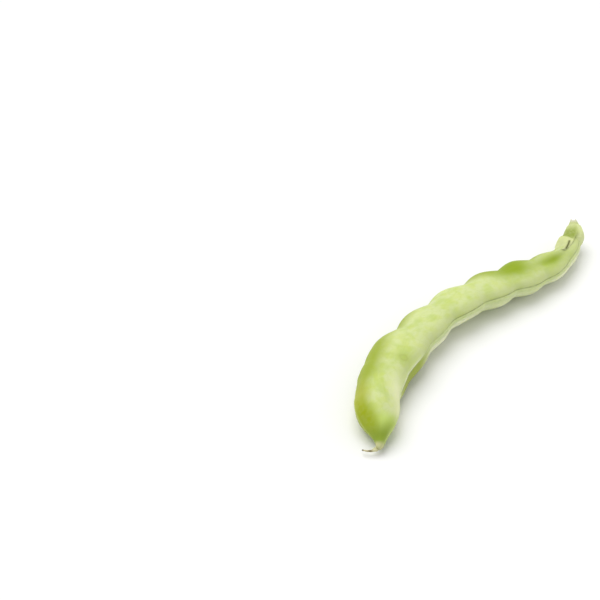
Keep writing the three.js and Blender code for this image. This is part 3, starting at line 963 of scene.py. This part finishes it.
class BEANPOD_OT_calyx(bpy.types.Operator):
    """Builds the thin cup round the end of the neck, with its teeth and the broad lobe"""

    bl_idname = "beanpod.calyx"
    bl_label = "Calyx"

    def execute(self, context):
        shape = context.scene.bean_pod_stem
        bm = unit_tube(shape.cup_sides, 2 * shape.cup_rings)
        share, turn, radius = tube_coordinates(bm)
        outside = share > 0.5
        climb = 1 - np.abs(2 * share - 1)
        notch = np.abs(2 * ((turn * TEETH + 0.5) % 1) - 1) ** TOOTH_ROUNDNESS
        lobe = np.clip(1 - np.abs((turn - LOBE_TURN) / LOBE_HALF_WIDTH) ** LOBE_SQUARENESS, 0, 1)
        edge = TEETH_TIPS + TOOTH_LENGTH * notch * (1 - lobe) - LOBE_LENGTH * lobe
        start = np.where(outside, CUP_END, CUP_FLOOR)
        distance = start + (edge - start) * climb
        sections = Sections(MIDDLE_LINE, distance)
        thin = 1 - THINNING * smooth_step(climb, *THINS_OUT)
        wall = shape.wall * np.sqrt(np.minimum(1, WALL_AT_FOOT + climb)) * thin * outside
        bulge = LOBE_BULGE * lobe * smooth_step(turn, *BULGE_TURNS)
        bulge *= stretch(climb, BULGE_SETS_IN, BULGE_FADES_OUT)
        across = np.cos(2 * math.pi * turn)
        drawn_in = 0.5 * np.where(across > 0, NEAR_EDGE_WAVE, FAR_EDGE_WAVE)
        drawn_in *= np.abs(across) * sections.half_width / FULL_HALF_WIDTH
        lifted = CORNER_LIFT * lobe * (1 - smooth_step(turn, *LIFTED_TURNS))
        drawn_in += shape.hug * (1 - lifted)
        margin = CUP_GAP + wall + bulge - drawn_in * smooth_step(climb, *HUG_SETS_IN)
        ribbed = outside * stretch(climb, CUP_RIBS_SET_IN, CUP_RIBS_FADE_OUT)
        margin -= shape.cup_ribs * (1 - ripple(2 * TEETH * turn)) * ribbed
        places = sections.oval(margin, turn, radius)
        margin += CUP_GRAIN_DEPTH * grain(places, CUP_GRAIN_SIZE, 5) * radius
        places = sections.oval(margin - CUP_INSET * outside, turn, radius)
        move_vertices(bm, places)

        depth = edge - distance
        # Partly the calyx's own paler green, partly painted light
        side = FOOT_SHARE * smooth_step(distance, *FOOT_SETS_IN)
        side += 1 - smooth_step(np.minimum(turn, 1 - turn), *FOOT_TURNS)
        dip, *dip_turns = LIMB_DIP
        border = LIMB_BORDER - dip * hump(turn, *dip_turns)
        crease_turn = CREASE_TURN + CREASE_SLANT * (distance - CREASE_START)
        crease_and_gap_shade = hump(turn, crease_turn, CREASE_SPREAD)
        crease_and_gap_shade *= stretch(distance, CREASE_SETS_IN, CREASE_FADES_OUT)
        # Painted shadow of the lobe's lifted corner
        corner = smooth_step(lobe, *CORNER_LOBE) * (1 - smooth_step(turn, *CORNER_TURNS))
        corner *= smooth_step(depth, *CORNER_DEPTHS)
        dry = smooth_step(depth, *DRY_DEPTHS) * smooth_step(lobe, *DRY_LOBE)
        # Painted light over the shading of the lobe's steep near edge
        painted_light_hem = 4 * lobe * (1 - lobe) * (turn < LOBE_TURN) * outside
        values = {
            "foot": np.clip(side, 0, 1),
            "limb": smooth_step(border - distance, -LIMB_BLUR, LIMB_BLUR),
            "dry": dry * smooth_step(turn, *DRY_TURNS),
            "painted_light_hem": painted_light_hem * (1 - smooth_step(distance, *HEM_FADES_OUT)),
            "crease_and_gap_shade": np.clip(crease_and_gap_shade + corner, 0, 1) * outside,
        }
        finish = calyx_skin(context.scene.bean_pod_stem_colours)
        add_piece("calyx_skin", bm, values, finish, "calyx")
        return {"FINISHED"}


class BEANPOD_OT_stalk(bpy.types.Operator):
    """Builds the short ribbed stub of the stalk, with its torn end"""

    bl_idname = "beanpod.stalk"
    bl_label = "Stalk"

    def execute(self, context):
        shape = context.scene.bean_pod_stem
        bm = unit_tube(STALK_SIDES, STALK_RINGS)
        share, turn, radius = tube_coordinates(bm)
        prongs = np.abs(np.cos(2 * math.pi * turn)) ** PRONG_SHARPNESS
        ragged = RAGGEDNESS * ripple(STALK_RIBS * turn + RAGGED_SHIFT) * (1 - prongs)
        torn = np.where(radius > 0, 1 - PRONG_LENGTH * prongs + ragged, 1)
        end = MIDDLE_LINE.length - shape.tear * torn
        distance = STALK_ROOT + (end - STALK_ROOT) * share
        margin = -shape.stalk_ribs * ripple(STALK_RIBS * turn) - STALK_INSET
        places = Sections(MIDDLE_LINE, distance).oval(margin, turn, radius)
        move_vertices(bm, places)
        values = {
            "along": distance,
            "round": np.abs(turn - 0.5) * FIBRE_CROWDING,
            "fibre": smooth_step(share, *FIBRE_SETS_IN),
        }
        finish = stalk_skin(context.scene.bean_pod_stem_colours)
        add_piece("stalk_skin", bm, values, finish, "stalk")
        return {"FINISHED"}


class BEANPOD_OT_style(bpy.types.Operator):
    """Builds the dried thread on the tip of the beak"""

    bl_idname = "beanpod.style"
    bl_label = "Style"

    def execute(self, context):
        shape = context.scene.bean_pod_stem
        line = SmoothLine((STATIONS[0][:3], *STYLE_LINE))
        bm = unit_tube(STYLE_SIDES, STYLE_RINGS)
        share, turn, radius = tube_coordinates(bm)
        sections = Sections(line, share * line.length)
        x, y = np.cos(2 * math.pi * turn) * radius, np.sin(2 * math.pi * turn) * radius
        thick = shape.style_root + (shape.style_tip - shape.style_root) * share
        thick += STYLE_SWELLING * bell(share, STYLE_SWELLING_SPREAD)
        smooth_places = sections.place(thick * x, thick * y)
        thick *= 1 - WRINKLE_SHARE + WRINKLE_SHARE * grain(smooth_places, WRINKLE_SIZE, 7)
        move_vertices(bm, sections.place(thick * x, thick * y))
        brown, *brown_part = BURNT_BELL
        burnt = brown * hump(share, *brown_part) + smooth_step(share, *BURNT_TIP)
        values = {
            "root": 1 - smooth_step(share, *ROOT_FADES_OUT),
            "burnt": np.clip(burnt, 0, 1),
        }
        finish = style_skin(context.scene.bean_pod_stem_colours)
        add_piece("style_skin", bm, values, finish, "style")
        return {"FINISHED"}


class BEANPOD_OT_stage(bpy.types.Operator):
    """Makes the floor, the soft light and the camera"""

    bl_idname = "beanpod.stage"
    bl_label = "Stage"

    def execute(self, context):
        scene, stage = context.scene, context.scene.bean_pod_stage
        bm = bmesh.new()
        bmesh.ops.create_circle(bm, cap_ends=True, segments=FLOOR_SIDES, radius=FLOOR_RADIUS)
        mesh = bpy.data.meshes.new("floor")
        bm.to_mesh(mesh)
        bm.free()
        paint = {"Base Color": shade(stage.floor), "Roughness": FLOOR_ROUGHNESS}
        mesh.materials.append(Recipe("floor_paint", paint).material)
        floor = add_object("floor", mesh)

        sun = bpy.data.lights.new("key_light", "SUN")
        sun.energy = stage.key
        sun.angle = stage.spread
        lamp = add_object("key_light", sun)
        lamp.rotation_euler = Vector(LIGHT_FROM).to_track_quat("Z", "Y").to_euler()

        panel = bpy.data.lights.new("side_light", "AREA")
        panel.energy = stage.side
        panel.size = SIDE_LIGHT_SIZE
        lamp = add_object("side_light", panel)
        lamp.location = SIDE_LIGHT_AT
        away = lamp.location - Vector(SIDE_LIGHT_ON)
        lamp.rotation_euler = away.to_track_quat("Z", "Y").to_euler()

        world = bpy.data.worlds.new("room_light")
        world.use_nodes = True
        sky = world.node_tree.nodes["Background"]
        sky.inputs["Color"].default_value = (1, 1, 1, 1)
        sky.inputs["Strength"].default_value = stage.fill
        scene.world = world
        scene.view_settings.view_transform = "Standard"

        a, e = stage.azimuth, stage.elevation
        back = Vector((math.sin(a) * math.cos(e), -math.cos(a) * math.cos(e), math.sin(e)))
        lens = bpy.data.cameras.new("camera")
        lens.lens = LENS
        lens.sensor_width = SENSOR_WIDTH
        lens.clip_start = NEAREST_VIEW
        camera = add_object("camera", lens)
        camera.location = Vector(PICTURE_MIDDLE) + back * stage.distance
        camera.rotation_euler = (-back).to_track_quat("-Z", "Y").to_euler()
        scene.camera = camera
        return {"FINISHED"}


class BEANPOD_PT_sidebar(bpy.types.Panel):
    bl_idname = "BEANPOD_PT_sidebar"
    bl_label = "Bean Pod"
    bl_space_type = "VIEW_3D"
    bl_region_type = "UI"
    bl_category = "Bean Pod"

    def draw(self, context):
        for operator in OPERATORS:
            self.layout.operator(operator.bl_idname)


SETTINGS = {
    "bean_pod": PodShape,
    "bean_pod_colours": PodColours,
    "bean_pod_stem": StemShape,
    "bean_pod_stem_colours": StemColours,
    "bean_pod_stage": StageSettings,
}
OPERATORS = (BEANPOD_OT_pod, BEANPOD_OT_calyx, BEANPOD_OT_stalk, BEANPOD_OT_style, BEANPOD_OT_stage)


def register():
    for kind in (*SETTINGS.values(), *OPERATORS, BEANPOD_PT_sidebar):
        bpy.utils.register_class(kind)
    for name, kind in SETTINGS.items():
        setattr(bpy.types.Scene, name, PointerProperty(type=kind))


def unregister():
    for name in SETTINGS:
        delattr(bpy.types.Scene, name)
    for kind in (BEANPOD_PT_sidebar, *OPERATORS, *SETTINGS.values()):
        bpy.utils.unregister_class(kind)


def main():
    register()
    bpy.ops.beanpod.pod()
    bpy.ops.beanpod.calyx()
    bpy.ops.beanpod.stalk()
    bpy.ops.beanpod.style()
    bpy.ops.beanpod.stage()


if __name__ == "__main__":
    main()
